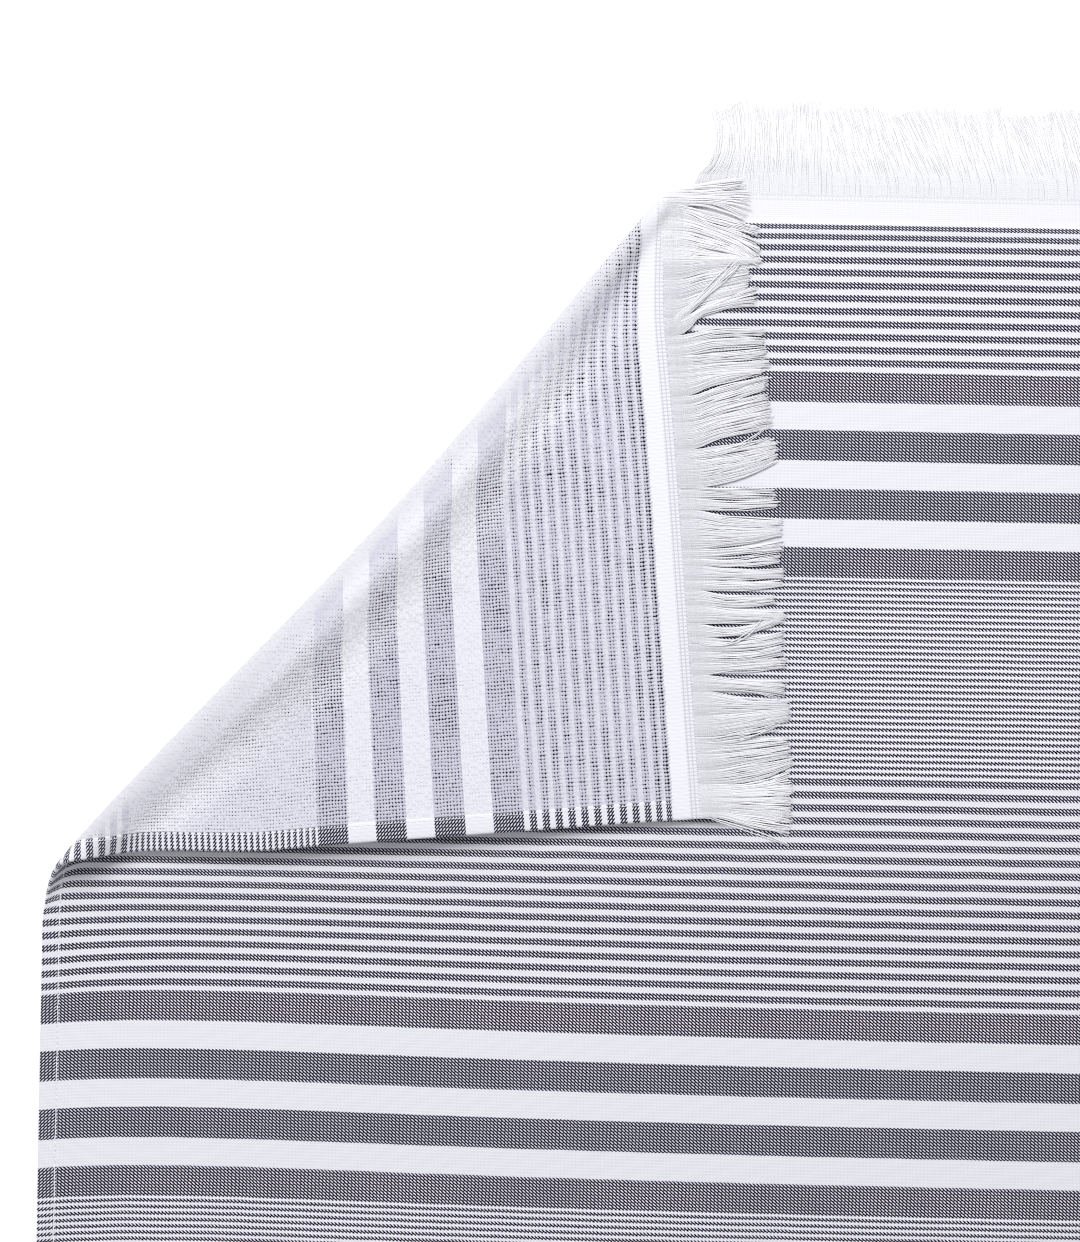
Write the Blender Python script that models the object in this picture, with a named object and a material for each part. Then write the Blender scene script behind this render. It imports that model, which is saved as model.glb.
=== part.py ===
"""Beach towel lying flat with one corner folded over, fringed at both ends.

The towel lies on the plane z = 0 with its width along X and its length along Y. Its top left corner is
turned over a soft, diagonal fold, so that the back of the cloth faces up there. Lengths are in metres.

Cloth positions are given as (u, v): u runs across the width from the left edge and v runs down the
length from the top end of the woven cloth, both measured on the towel before it is folded.
"""

import math

import bmesh
import bpy
import numpy as np

# The cloth.
WIDTH = 1.000
WOVEN_LENGTH = 1.729
THICKNESS = 0.0024

# The diagonal fold. Its centre is a place on the flat cloth, and its direction runs down to the left.
FOLD_CENTRE_U = 0.1518
FOLD_CENTRE_V = 0.1442
FOLD_ANGLE = math.radians(132.5)
FLAP_GAP = 0.0008
FLAP_SLIDE = 0.0078
FLAP_SLIDE_REACH = 0.055
FALL_ANGLE = 0.65
FOLD_SPAN = (-0.205, 0.240)
# Sections along the fold: distance from its centre, size of the loop, and how far the loop is pushed in.
FOLD_COLUMNS = ("along", "radius", "shift")
FOLD_SECTIONS = (
    (-0.195, 0.0046, -0.0033),
    (-0.090, 0.0119, -0.0003),
    (0.015, 0.0159, 0.0021),
    (0.120, 0.0120, 0.0030),
    (0.225, 0.0132, 0.0030),
)
SHIFT_LEAD = 0.045
SHIFT_FADE = 0.090
PROFILE_STEPS = 200

# Where the side hem and the corner of the flap stand a little off the cloth below.
HEM_LIFT = 0.0036
HEM_LIFT_REACH = 0.055
HEM_LIFT_SPAN = (0.020, 0.285)
CORNER_LIFT = 0.0022
CORNER_LIFT_REACH = 0.060

# The fringes: a strip parted from the cloth's end, with locks of yarn rooted in it.
PART_GAP = 0.0006
STRIP_DEPTH = 0.0030
FRINGE_LENGTH = 0.0380
LOCK_PITCH = 0.0080
LOCK_FILL = 0.66
LOCK_SEGMENTS = 3
LOCK_TIP_WIDTH = 0.60
LOCK_TIP_HEIGHT = 0.45
STRIP_HEIGHT = 0.0020
FLOOR_SPLAY = 0.0010
FLAP_SPLAY = 0.0012
LENGTH_CHANGE = 0.0025
DROP_REACH = 0.022
STRIP_END = 0.0010
# Unevenness from lock to lock: sine waves with these turns per metre and shares, at a seed for each use.
WANDER_WAVES = ((410.0, 0.6), (1170.0, 0.4))
LENGTH_SEED, SPLAY_SEED = 1.0, 3.0
# Locks beside the fold lean to the right on the floor, and those in the fold's mouth lean up from the flap's.
FLOOR_LEAN = 0.45
FLOOR_LEAN_REACH = 0.050
FLAP_LOCKS_FROM = 0.2840
MOUTH_FROM = 0.2640
MOUTH_REACH = 0.0240
MOUTH_LEAN = 0.50
CORNER_FAN = 0.22
CORNER_FAN_REACH = 0.012

# Cuts that let the flat sheet bend: where each zone across the fold starts, and the cuts' spacing in it.
ZONE_COLUMNS = ("start", "stop", "spacing")
ZONES = (
    (0.062, 0.022, 0.0080),
    (0.022, -0.050, 0.0038),
    (-0.050, -0.209, 0.0110),
)
SECTION_CUT = 0.0200
MERGE_DISTANCE = 1e-6

# Stretch of the top end in which the fold leaves the floor, and the step in which that place is looked for.
FOOT_SEARCH = (0.20, 0.40)
FOOT_STEP = 0.0005

TOWEL_COLOUR = (0.47, 0.48, 0.60, 1.0)
FRINGE_COLOUR = (0.90, 0.90, 0.91, 1.0)
CLOTH_ROUGHNESS = 0.92


def smooth(value):
    """Smooth step from 0 to 1."""
    value = np.clip(value, 0.0, 1.0)
    return value * value * (3.0 - 2.0 * value)


def running_integral(values):
    """Integral of evenly spaced samples over a unit length, as a table of the same size."""
    halves = (values[1:] + values[:-1]) / 2.0
    return np.concatenate([[0.0], np.cumsum(halves)]) / (len(values) - 1)


# The profile across the fold turns up and back over in the loop, then falls gently to the cloth below.
STATION = np.linspace(0.0, 1.0, PROFILE_STEPS)
LOOP_TURN = (math.pi + FALL_ANGLE) * smooth(STATION)
FALL_TURN = math.pi + FALL_ANGLE * (1.0 - smooth(STATION))
LOOP_ACROSS = running_integral(-np.cos(LOOP_TURN))
LOOP_UP = running_integral(np.sin(LOOP_TURN))
FALL_ACROSS = running_integral(-np.cos(FALL_TURN))
FALL_UP = running_integral(np.sin(FALL_TURN))
REST_HEIGHT = THICKNESS + FLAP_GAP

ALONG_U, ALONG_V = math.cos(FOLD_ANGLE), math.sin(FOLD_ANGLE)
ACROSS_U, ACROSS_V = ALONG_V, -ALONG_U


def section_curve(column):
    """Smooth curve through one column of the fold's sections."""
    place = FOLD_COLUMNS.index(column)
    rows = np.array(FOLD_SECTIONS)
    return np.polyfit(rows[:, 0] / WIDTH, rows[:, place], len(rows) - 1)


RADIUS_CURVE = section_curve("radius")
SHIFT_CURVE = section_curve("shift")


def fold_frame(u, v):
    """Sizes of the fold at the section through (u, v), and how far round it the point lies."""
    across = (u - FOLD_CENTRE_U) * ACROSS_U + (v - FOLD_CENTRE_V) * ACROSS_V
    along = (u - FOLD_CENTRE_U) * ALONG_U + (v - FOLD_CENTRE_V) * ALONG_V
    section = np.clip(along, *FOLD_SPAN) / WIDTH
    loop = math.pi * np.polyval(RADIUS_CURVE, section)
    fall = (loop * LOOP_UP[-1] - REST_HEIGHT) / -FALL_UP[-1]
    foot = (loop * (1.0 - LOOP_ACROSS[-1]) + fall * (1.0 - FALL_ACROSS[-1])) / 2.0
    shift = np.polyval(SHIFT_CURVE, section)
    return across, along, loop, fall, foot, shift


def flap_lift(u, v):
    """Height by which the flap's hem and corner stand off the cloth below."""
    start, end = HEM_LIFT_SPAN
    window = np.sin(math.pi * np.clip((v - start) / (end - start), 0.0, 1.0))
    hem = HEM_LIFT * window * smooth(1.0 - u / HEM_LIFT_REACH)
    corner = CORNER_LIFT * smooth(1.0 - np.hypot(u, v) / CORNER_LIFT_REACH)
    return hem + corner


def cloth_point(u, v, height):
    """Place of the cloth's point (u, v), at a height over its middle surface on the front side."""
    u, v = np.asarray(u, float), np.asarray(v, float)
    across, along, loop, fall, foot, shift = fold_frame(u, v)
    travel = foot - across
    in_loop = np.clip(travel / loop, 0.0, 1.0)
    in_fall = np.clip((travel - loop) / fall, 0.0, 1.0)
    beyond = np.maximum(travel - loop - fall, 0.0)
    new_across = foot + loop * np.interp(in_loop, STATION, LOOP_ACROSS)
    new_across += fall * np.interp(in_fall, STATION, FALL_ACROSS) + beyond
    new_across = np.where(travel < 0.0, across, new_across)
    new_across += shift * smooth(1.0 + travel / SHIFT_LEAD) * smooth(1.0 - (travel - loop) / SHIFT_FADE)
    new_along = along + FLAP_SLIDE * smooth(travel / FLAP_SLIDE_REACH)
    level = THICKNESS / 2.0 + loop * np.interp(in_loop, STATION, LOOP_UP)
    level += fall * np.interp(in_fall, STATION, FALL_UP)
    level += flap_lift(u, v) * smooth(in_loop)
    turn = np.where(
        travel < loop,
        np.interp(in_loop, STATION, LOOP_TURN),
        np.interp(in_fall, STATION, FALL_TURN),
    )
    new_across += height * np.sin(turn)
    level += height * np.cos(turn)
    x = FOLD_CENTRE_U + new_across * ACROSS_U + new_along * ALONG_U - WIDTH / 2.0
    y = WOVEN_LENGTH / 2.0 - FOLD_CENTRE_V - new_across * ACROSS_V - new_along * ALONG_V
    return np.stack([x, y, level], axis=-1)


def clear_scene():
    for obj in list(bpy.data.objects):
        bpy.data.objects.remove(obj, do_unlink=True)


def cloth_material(name, colour):
    material = bpy.data.materials.new(name)
    material.use_nodes = True
    shader = material.node_tree.nodes["Principled BSDF"]
    shader.inputs["Base Color"].default_value = colour
    shader.inputs["Roughness"].default_value = CLOTH_ROUGHNESS
    shader.inputs["Metallic"].default_value = 0.0
    return material


def add_object(name, bm, material):
    """One closed object from a bmesh, with its faces pointing out."""
    bmesh.ops.recalc_face_normals(bm, faces=bm.faces)
    mesh = bpy.data.meshes.new(name)
    bm.to_mesh(mesh)
    bm.free()
    mesh.shade_smooth()
    mesh.set_sharp_from_angle(angle=math.radians(40.0))
    mesh.materials.append(material)
    obj = bpy.data.objects.new(name, mesh)
    bpy.context.scene.collection.objects.link(obj)
    return obj


def cut_line(bm, across, normal_u, normal_v, keep):
    """Cuts the flat sheet along a line at a distance from the fold's centre, where keep allows it."""
    faces = [face for face in bm.faces if keep(face.calc_center_median())]
    edges = {edge for face in faces for edge in face.edges}
    verts = {vert for face in faces for vert in face.verts}
    point = (FOLD_CENTRE_U + across * normal_u, FOLD_CENTRE_V + across * normal_v, 0.0)
    bmesh.ops.bisect_plane(
        bm,
        geom=[*verts, *edges, *faces],
        dist=MERGE_DISTANCE,
        plane_co=point,
        plane_no=(normal_u, normal_v, 0.0),
    )


def flat_sheet():
    """The towel's flat outline, cut where it has to bend. Its x and y are u and v."""
    bm = bmesh.new()
    corners = ((0.0, 0.0), (WIDTH, 0.0), (WIDTH, WOVEN_LENGTH), (0.0, WOVEN_LENGTH))
    bm.faces.new([bm.verts.new((u, v, 0.0)) for u, v in corners])
    first_cut = ZONES[0][ZONE_COLUMNS.index("start")]

    def whole(_centre):
        return True

    def in_fold(centre):
        across = (centre.x - FOLD_CENTRE_U) * ACROSS_U + (centre.y - FOLD_CENTRE_V) * ACROSS_V
        return across < first_cut

    cut_line(bm, first_cut, ACROSS_U, ACROSS_V, whole)
    for start, stop, spacing in ZONES:
        count = round((start - stop) / spacing)
        for place in np.linspace(start, stop, count + 1)[1:]:
            cut_line(bm, place, ACROSS_U, ACROSS_V, in_fold)
    count = round((FOLD_SPAN[1] - FOLD_SPAN[0]) / SECTION_CUT)
    for place in np.linspace(*FOLD_SPAN, count + 1):
        cut_line(bm, place, ALONG_U, ALONG_V, in_fold)
    return bm


def build_towel(material):
    """The whole cloth as one solid: the flat outline at both faces of the cloth, joined round its rim."""
    bm = flat_sheet()
    faces = list(bm.faces)
    rim = [edge for edge in bm.edges if edge.is_boundary]
    back = {vert: bm.verts.new(vert.co) for vert in list(bm.verts)}
    for face in faces:
        bm.faces.new([back[vert] for vert in reversed(face.verts)])
    for edge in rim:
        first, second = edge.verts
        bm.faces.new((first, second, back[second], back[first]))
    for vert, other in back.items():
        u, v = vert.co.x, vert.co.y
        vert.co = cloth_point(u, v, THICKNESS / 2.0)
        other.co = cloth_point(u, v, -THICKNESS / 2.0)
    bmesh.ops.triangulate(bm, faces=bm.faces)
    return add_object("towel", bm, material)


def lock_rings(root, heading, length, splay, rest):
    """Corner points of one lock from its root, falling from the strip's height to its resting height."""
    centre = root.mean(axis=0)
    direction = np.array([math.cos(heading), math.sin(heading), 0.0])
    side = np.array([-direction[1], direction[0], 0.0])
    facing = 1.0 if root[1][2] > root[0][2] else -1.0
    rings = []
    for step in range(1, LOCK_SEGMENTS + 1):
        share = step / LOCK_SEGMENTS
        width = 1.0 - (1.0 - LOCK_TIP_WIDTH) * share**2
        height = 1.0 - (1.0 - LOCK_TIP_HEIGHT) * share
        middle = centre + direction * length * share + side * splay * share**2
        drop = smooth(length * share / DROP_REACH)
        half = STRIP_HEIGHT * height / 2.0
        middle[2] = centre[2] + (rest + half - centre[2]) * drop
        reach = np.linalg.norm(root[3] - root[0]) / 2.0 * width
        upward = np.array([0.0, 0.0, half])
        corners = ((-1, -1), (-1, 1), (1, 1), (1, -1))
        rings.append([middle + facing * (side * reach * s + upward * t) for s, t in corners])
    return rings


def build_fringe(name, material, start, stop, outline, aim):
    """A strip along the cloth's end with locks rooted in its outer side, as one closed mesh.

    outline(u) gives the strip's four corners at u: inner low, inner high, outer high, outer low.
    aim(u) gives each lock's heading, length, sideways splay and the height that it rests on.
    """
    bm = bmesh.new()
    count = round(abs(stop - start) / LOCK_PITCH)
    pitch = (stop - start) / count
    margin = pitch * (1.0 - LOCK_FILL) / 2.0
    stations = [start]
    for index in range(count):
        stations += [start + index * pitch + margin, start + (index + 1) * pitch - margin]
    stations.append(stop)
    sections = [[bm.verts.new(corner) for corner in outline(u)] for u in stations]
    bm.faces.new(sections[0])
    bm.faces.new(reversed(sections[-1]))
    for index in range(len(stations) - 1):
        near, far = sections[index], sections[index + 1]
        bm.faces.new((near[0], far[0], far[1], near[1]))
        bm.faces.new((near[1], far[1], far[2], near[2]))
        bm.faces.new((near[3], far[3], far[0], near[0]))
        if index % 2 == 0:
            bm.faces.new((near[2], far[2], far[3], near[3]))
            continue
        ring = [near[3], near[2], far[2], far[3]]
        root = np.array([vert.co[:] for vert in ring])
        for corners in lock_rings(root, *aim((stations[index] + stations[index + 1]) / 2.0)):
            new_ring = [bm.verts.new(corner) for corner in corners]
            for side in range(4):
                after = (side + 1) % 4
                bm.faces.new((ring[side], ring[after], new_ring[after], new_ring[side]))
            ring = new_ring
        bm.faces.new(ring)
    bmesh.ops.triangulate(bm, faces=bm.faces)
    return add_object(name, bm, material)


def strip_outline(end, outward):
    """Corners of the strip parted from an end of the cloth at v = end, as a function of u."""
    inner = end + outward * PART_GAP
    outer = inner + outward * STRIP_DEPTH
    low = -THICKNESS / 2.0
    high = low + STRIP_HEIGHT
    places = ((inner, low), (inner, high), (outer, high), (outer, low))

    def outline(u):
        return [cloth_point(u, v, height) for v, height in places]

    return outline


def wander(u, seed):
    """Uneven value between -1 and 1 that changes from lock to lock."""
    return sum(share * math.sin(turns * u + seed) for turns, share in WANDER_WAVES)


def lock_length(u):
    return FRINGE_LENGTH - LENGTH_CHANGE * (1.0 - wander(u, LENGTH_SEED)) / 2.0


def lock_splay(u, most):
    return most * wander(u, SPLAY_SEED)


def fold_foot():
    """The place on the cloth's top end where the fold leaves the floor."""
    places = np.arange(*FOOT_SEARCH, FOOT_STEP)
    across, _along, _loop, _fall, foot, _shift = fold_frame(places, np.zeros_like(places))
    return float(places[np.argmax(across > foot)])


FLOOR_START = fold_foot() + STRIP_END


def top_aim(u):
    heading = math.pi / 2.0 - FLOOR_LEAN * math.exp(-(u - FLOOR_START) / FLOOR_LEAN_REACH)
    return heading, lock_length(u), lock_splay(u, FLOOR_SPLAY), 0.0


def bottom_aim(u):
    return -math.pi / 2.0, lock_length(u), lock_splay(u, FLOOR_SPLAY), 0.0


def flap_aim(u):
    """The flap's locks point away from its end, which the fold has turned towards +X."""
    heading = 1.5 * math.pi - 2.0 * FOLD_ANGLE
    heading += MOUTH_LEAN * float(smooth((u - MOUTH_FROM) / MOUTH_REACH))
    heading -= CORNER_FAN * math.exp(-u / CORNER_FAN_REACH)
    return heading, lock_length(u), lock_splay(u, FLAP_SPLAY), THICKNESS + PART_GAP


def main():
    clear_scene()
    towel_material = cloth_material("towel_cloth", TOWEL_COLOUR)
    fringe_material = cloth_material("fringe_yarn", FRINGE_COLOUR)
    build_towel(towel_material)
    right_end = WIDTH - STRIP_END
    top_end = strip_outline(0.0, -1.0)
    bottom_end = strip_outline(WOVEN_LENGTH, 1.0)
    build_fringe("fringe_top", fringe_material, right_end, FLOOR_START, top_end, top_aim)
    build_fringe("fringe_bottom", fringe_material, STRIP_END, right_end, bottom_end, bottom_aim)
    build_fringe("fringe_flap", fringe_material, FLAP_LOCKS_FROM, STRIP_END, top_end, flap_aim)


main()
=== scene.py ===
"""Looks of a striped beach towel that lies flat with its top left corner folded over.

The cloth is one closed sheet bent by the same fold as the solid it stands for. On the folded corner its
back is up, with terry loops as real yarn. The fringes are single yarns, and the side hems have stitches.

Places on the cloth are (u, v), before the fold: u runs across the width from the left edge, and v down the
length from the top end of the woven cloth. All lengths are in metres.
"""

import math

import bpy
import numpy as np
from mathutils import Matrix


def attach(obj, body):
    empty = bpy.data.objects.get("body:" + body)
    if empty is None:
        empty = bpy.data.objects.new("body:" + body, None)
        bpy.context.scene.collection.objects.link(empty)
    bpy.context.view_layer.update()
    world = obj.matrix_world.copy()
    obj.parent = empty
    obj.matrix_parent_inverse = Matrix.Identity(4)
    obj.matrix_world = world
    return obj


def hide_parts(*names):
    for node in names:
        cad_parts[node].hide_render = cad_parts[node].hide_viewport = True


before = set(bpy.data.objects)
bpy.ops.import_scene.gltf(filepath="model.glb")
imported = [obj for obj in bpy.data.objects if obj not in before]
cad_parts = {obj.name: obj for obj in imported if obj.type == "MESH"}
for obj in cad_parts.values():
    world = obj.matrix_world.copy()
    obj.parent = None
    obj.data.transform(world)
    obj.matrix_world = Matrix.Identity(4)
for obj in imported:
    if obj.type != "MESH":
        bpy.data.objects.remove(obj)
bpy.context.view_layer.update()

# The photograph's frame.
IMAGE_HEIGHT = 1242
METRES_PER_PIXEL = 0.00046
VIEW_CENTRE = (-0.2736, 0.6650)
VIEW_TURN = math.radians(1.06)
CAMERA_HEIGHT = 1.4
SENSOR = 36.0

# The cloth and its fold, as the solid has them.
WIDTH = 1.000
WOVEN_LENGTH = 1.729
THICKNESS = 0.0024
FOLD_CENTRE_U = 0.1518
FOLD_CENTRE_V = 0.1442
FOLD_ANGLE = math.radians(132.5)
FLAP_GAP = 0.0008
FLAP_SLIDE = 0.0078
FLAP_SLIDE_REACH = 0.055
FALL_ANGLE = 0.65
FOLD_SPAN = (-0.205, 0.240)
# Sections of the fold. Columns: distance from its centre, radius of the loop, and how far that is pushed in.
FOLD_SECTIONS = (
    (-0.195, 0.0046, -0.0033),
    (-0.090, 0.0119, -0.0003),
    (0.015, 0.0159, 0.0021),
    (0.120, 0.0120, 0.0030),
    (0.225, 0.0132, 0.0056),
)
SHIFT_FADE = 0.090
PROFILE_STEPS = 200
HEM_LIFT = 0.0066
HEM_LIFT_REACH = 0.055
HEM_LIFT_SPAN = (0.020, 0.285)
# The folded hem lies further up the towel towards its lower end.
HEM_DRAW = 0.0054
HEM_DRAW_REACH = 0.050
HEM_DRAW_IN = (0.197, 0.265)
HEM_DRAW_OUT = (0.306, 0.322)
CORNER_LIFT = 0.0022
CORNER_LIFT_REACH = 0.060
FOLD_REACH = 0.360

# Hems and headers, and the steps from them to the body of the cloth and its terry.
HEM = 0.0088
HEADER = 0.0138
HEADER_STEP = 0.0014
TERRY_STEP = 0.0009
TERRY_LEAD = 0.0060
# The header's open mesh: how far it reaches in front and at the back, and its pitch across and along.
HEADER_GRID = 0.0037
HEADER_GRID_BACK = 0.0064
HEADER_PITCH_U = 0.00167
HEADER_PITCH_V = 0.00300
# Heights of the cloth's layers over its middle surface, the rounding of its sides, and the stitches' place.
HEADER_FRONT = 0.0005
HEADER_BACK = -0.0006
GROUND_BACK = -0.00035
EDGE_ROUND = 0.0006
EDGE_REACH = 0.0010
STITCH_INSET = 0.0009

# Weave: one cell is three warp ends by three picks.
CELL_U = 0.00167
CELL_V = 0.001472
# The white floats slant across their cells, and break up the stripes' edges over this depth.
FLOAT_SLANT = 4.0
FLOAT_RIM = 0.0005
RIM_WEIGHT = 3.0
FLOAT_LEVELS = (1.7, 2.7)

# Stripe layout along the pattern, which is v with the picks packed closer beside the headers.
PACKED_SHIFT = 0.00373
PACKED_REACH = 0.00662
# White before the first narrow stripe, and how far before that the header's colour ends.
FIRST_GAP = 0.0012
HEADER_SEAM = 0.0004
NARROW_START = HEADER - PACKED_SHIFT + FIRST_GAP
REPEAT_START = 0.082386
REPEAT = 0.29385
# Whole repeats, and the part of one that follows them.
REPEATS, LAST_PART = 5, 0.0955
REPEAT_END = REPEAT_START + REPEATS * REPEAT + LAST_PART
# Stripes, beside the header and in a repeat. Columns: (start,) pitch, width of the navy, count.
NARROW_STRIPES = (0.005926, 0.00352, 12)
STRIPES = (
    (0.0, 0.02691, 0.01417, 4),
    (0.09582, 0.002935, 0.00193, 31),
    (0.18704, 0.005965, 0.00350, 18),
)
FINE_START, MEDIUM_START = STRIPES[1][0], STRIPES[2][0]

# A slow wave of the stripes beside the left edge, below the flap.
WAVE_RISE = 0.0041
WAVE_PLACE = 0.080
WAVE_LEAD = 0.012
WAVE_LEAD_REACH = 0.045
WAVE_IN = (0.300, 0.360)
WAVE_OUT = (0.450, 0.800)

# Terry loops.
LOOP_HEIGHT = 0.00046
LOOP_DEPTH = 0.00020
# They are smaller beside the header, and left out where their tips would be nearer to the floor than this.
HEADER_LOOP = 0.84
HEADER_LOOP_REACH = 0.022
LOOP_CLEARANCE = 0.0004
# Rings of a loop. Columns: place along the warp, height as a share of the loop's, half its width.
LOOP_RINGS = (
    (-0.00078, 0.62, 0.00010),
    (-0.00018, 0.96, 0.00089),
    (0.00018, 1.00, 0.00090),
    (0.00078, 0.62, 0.00010),
)
LOOP_PIECES = 3
# How far the loops' shading follows the cloth: usually, and where they close up.
LOOP_SOFTNESS = (0.50, 0.80)
# Loops close up over the bend, to these distances past its crest: how much larger they are. They do so less
# beside the header, up to these places of the stripe layout, and also in the fine stripes and the white.
CLOSE_SIZE = 0.38
CLOSE_REACH = (0.008, 0.030)
NARROW_CLOSE = 0.30
NARROW_OPEN = (0.030, 0.068)
FINE_CLOSE = 0.50
WHITE_CLOSE = 1.00
# Painted light: past the bend the loops are painted whiter, for light that the slope there does not get:
# distances over which that comes and goes. It reaches further in the wide stripes, and is fainter from them
# on and beside the header.
BEND_LIGHT_IN = (0.008, 0.016)
BEND_LIGHT_OUT = (0.027, 0.045)
BEND_LIGHT_FURTHER = 0.010
BEND_LIGHT_FAINTER = 0.40
NARROW_BEND_LIGHT = 0.25
# On the bend's crest the colours run together into a darker grey, painted shade, up to this distance past it.
CREST_SHADE_FADE = (0.004, 0.013)

# Fringes.
FRINGE_LENGTH = 0.0410
TOP_PITCH, BOTTOM_PITCH = 0.00036, 0.00056
FLAP_FRINGE_LENGTH = (0.0400, 0.0440)
FLAP_FRINGE_RISE = (0.0, 0.18)
YARN_RADIUS = 0.00028
YARN_SIDES = 3
TIP_TAPER = 0.45
FLAP_SETTLE, FLOOR_SETTLE = 0.016, 0.010
ROOT_LAP = 0.0016
ROOT_SINK = 0.0005
# Places of a yarn's rings: on the cloth as shares of the lap, and beyond it of the free length.
LAP_RINGS = np.array([0.0, 0.5])
FLAP_RINGS = np.array([0.0, 0.07, 0.16, 0.26, 0.36, 0.46, 0.56, 0.67, 0.78, 0.89, 1.0])
FLOOR_RINGS = np.array([0.0, 0.09, 0.20, 0.34, 0.50, 0.67, 0.84, 1.0])
# Locks of the flap's fringe. Columns: rows of the photograph where the upper and lower yarns start, are
# halfway and end; their length as a share of the usual one; their spacing; and the lock's height.
FLAP_LOCKS = (
    (185, 192, 183, 191, 178, 187, 0.76, 0.00028, 0.0003),
    (192, 206, 189, 206, 184, 221, 0.86, 0.00040, 0.0002),
    (206, 216, 216, 228, 225, 246, 0.98, 0.00028, 0.0007),
    (216, 230, 228, 237, 247, 262, 1.02, 0.00029, 0.0006),
    (230, 246, 238, 252, 258, 264, 0.98, 0.00040, 0.0002),
    (246, 277, 252, 268, 258, 262, 0.96, 0.00029, 0.0001),
    (277, 299, 269, 290, 262, 281, 0.88, 0.00029, 0.0000),
    (299, 318, 291, 303, 283, 290, 0.86, 0.00029, 0.0000),
    (318, 336, 303, 312, 285, 306, 1.02, 0.00028, 0.0005),
    (336, 344, 329, 336, 328, 335, 1.00, 0.00029, 0.0002),
    (344, 356, 337, 350, 337, 346, 1.00, 0.00029, 0.0001),
    (356, 365, 353, 361, 349, 357, 1.00, 0.00029, 0.0002),
    (365, 374, 363, 369, 359, 367, 1.00, 0.00029, 0.0000),
    (374, 397, 370, 383, 369, 372, 0.96, 0.00029, 0.0002),
    (397, 404, 387, 392, 375, 379, 1.00, 0.00029, 0.0004),
    (404, 415, 393, 404, 381, 389, 1.00, 0.00029, 0.0002),
    (415, 422, 405, 412, 393, 400, 1.00, 0.00029, 0.0003),
    (422, 450, 413, 438, 402, 428, 1.00, 0.00029, 0.0001),
    (450, 487, 446, 481, 440, 463, 1.03, 0.00028, 0.0002),
    (487, 498, 489, 498, 489, 499, 0.98, 0.00046, 0.0000),
    (498, 510, 501, 510, 500, 507, 1.02, 0.00042, 0.0002),
    (510, 519, 518, 525, 520, 527, 1.02, 0.00029, 0.0001),
    (519, 549, 525, 545, 527, 536, 1.03, 0.00029, 0.0003),
    (549, 558, 547, 556, 540, 551, 1.02, 0.00029, 0.0000),
    (558, 565, 558, 567, 553, 565, 1.02, 0.00029, 0.0003),
    (565, 580, 569, 580, 568, 579, 1.03, 0.00029, 0.0001),
    (580, 590, 582, 590, 581, 587, 1.02, 0.00029, 0.0002),
    (590, 605, 596, 608, 595, 604, 0.94, 0.00029, 0.0001),
    (605, 624, 610, 622, 611, 621, 1.02, 0.00029, 0.0003),
    (624, 637, 629, 635, 614, 622, 0.98, 0.00029, 0.0004),
    (637, 652, 639, 652, 631, 645, 1.00, 0.00029, 0.0001),
    (652, 661, 653, 661, 646, 655, 1.00, 0.00029, 0.0003),
    (661, 675, 662, 671, 659, 667, 1.00, 0.00029, 0.0001),
    (675, 691, 680, 691, 680, 698, 1.00, 0.00029, 0.0003),
    (691, 716, 698, 713, 700, 709, 1.00, 0.00029, 0.0001),
    (716, 736, 714, 729, 709, 720, 1.02, 0.00029, 0.0003),
    (736, 742, 732, 737, 723, 729, 0.90, 0.00042, 0.0004),
    (742, 753, 740, 750, 738, 744, 1.00, 0.00029, 0.0001),
    (753, 769, 751, 763, 745, 755, 1.01, 0.00029, 0.0003),
    (769, 784, 764, 781, 757, 767, 1.02, 0.00029, 0.0001),
    (784, 790, 783, 788, 769, 778, 1.02, 0.00042, 0.0002),
    (788, 812, 786, 815, 780, 822, 1.00, 0.00020, 0.0003),
    (811, 817, 815, 826, 821, 836, 1.00, 0.00018, 0.0003),
)
LOCK_SPACING = 0.76
LOCK_LAYER = 0.8
LOCK_CROWN = 0.0003
# Strands that lie across the locks, with the same columns.
FLAP_STRANDS = (
    (204, 206, 211, 213, 226, 230, 0.92, 0.00050, 0.0012),
    (320, 333, 293, 301, 260, 268, 1.00, 0.00044, 0.0012),
    (300, 302, 268, 270, 250, 253, 0.50, 0.00050, 0.0013),
    (454, 456, 450, 452, 428, 431, 0.96, 0.00060, 0.0008),
    (458, 460, 450, 452, 437, 438, 0.98, 0.00060, 0.0008),
    (640, 642, 641, 643, 612, 616, 0.92, 0.00060, 0.0012),
    (742, 743, 739, 740, 722, 724, 0.96, 0.00060, 0.0012),
    (752, 753, 748, 749, 742, 743, 0.98, 0.00060, 0.0008),
    (816, 818, 829, 831, 845, 848, 1.02, 0.00050, 0.0001),
)
# Shares of their length over which locks and strands turn aside.
LOCK_TURN = 0.45
STRAND_TURN = 0.16
# Beside the fold's mouth the yarns start further back on the cloth.
MOUTH_LAP = 0.0034
MOUTH_LAP_ROWS = (205.0, 275.0)
# Rows whose yarns keep the fringe cotton's colour, without the painted shade of the others.
UNSHADED_ROWS = ((184.0, 262.0), (784.0, 820.0))
# How far the yarns' shading follows the surface they form, and how far a lock's sides turn away.
YARN_SOFTNESS = 0.60
FLOOR_YARN_SOFTNESS = 0.90
LOCK_ROUNDNESS = 0.28
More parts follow.
